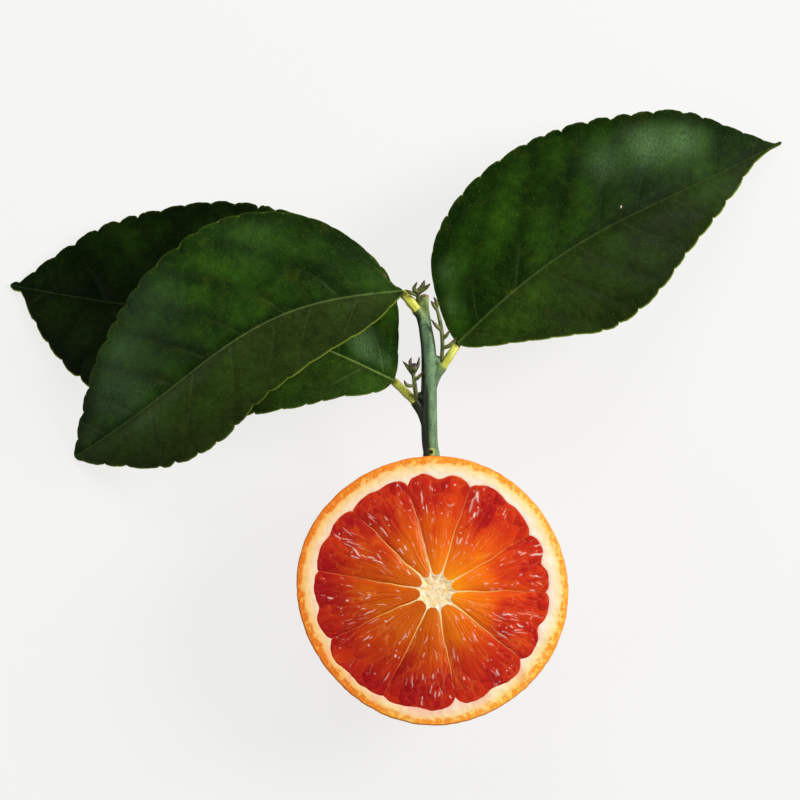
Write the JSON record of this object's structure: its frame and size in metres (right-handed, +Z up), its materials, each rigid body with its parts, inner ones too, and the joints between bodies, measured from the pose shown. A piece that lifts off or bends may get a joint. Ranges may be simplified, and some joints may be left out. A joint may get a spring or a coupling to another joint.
{
  "type": "blood orange half on a leafy twig",
  "caption": "Half of a blood orange, cut side up on its round peel, with a short green twig at its side that carries arching glossy leaves and bud shoots.",
  "frame": {"origin": "middle of the small flat spot under the dome, on which the fruit rests", "axes": "+Z up, out of the cut face; +Y towards the twig; +X to the right of the twig, seen from above"},
  "size_m": [0.2075, 0.1617, 0.0338],
  "materials": {
    "peel": "pitted waxy orange peel",
    "pith": "cream spongy pith",
    "flesh": "wet translucent red and orange pulp",
    "twig": "green bark with fine specks",
    "petiole": "ribbed yellow-green stalk",
    "leaf": "waxy dark green leaf with oil dots",
    "bud_shoot": "olive bracts with brown tips"
  },
  "bodies": {
    "root": {"orange_half": "peel", "twig": "twig", "petiole_front_left": "petiole", "petiole_back_left": "petiole", "petiole_right": "petiole", "leaf_front_left": "leaf", "leaf_back_left": "leaf", "leaf_right": "leaf", "bud_shoot_top": "bud_shoot", "bud_shoot_right": "bud_shoot", "bud_shoot_lower": "bud_shoot"}
  },
  "joints": []
}
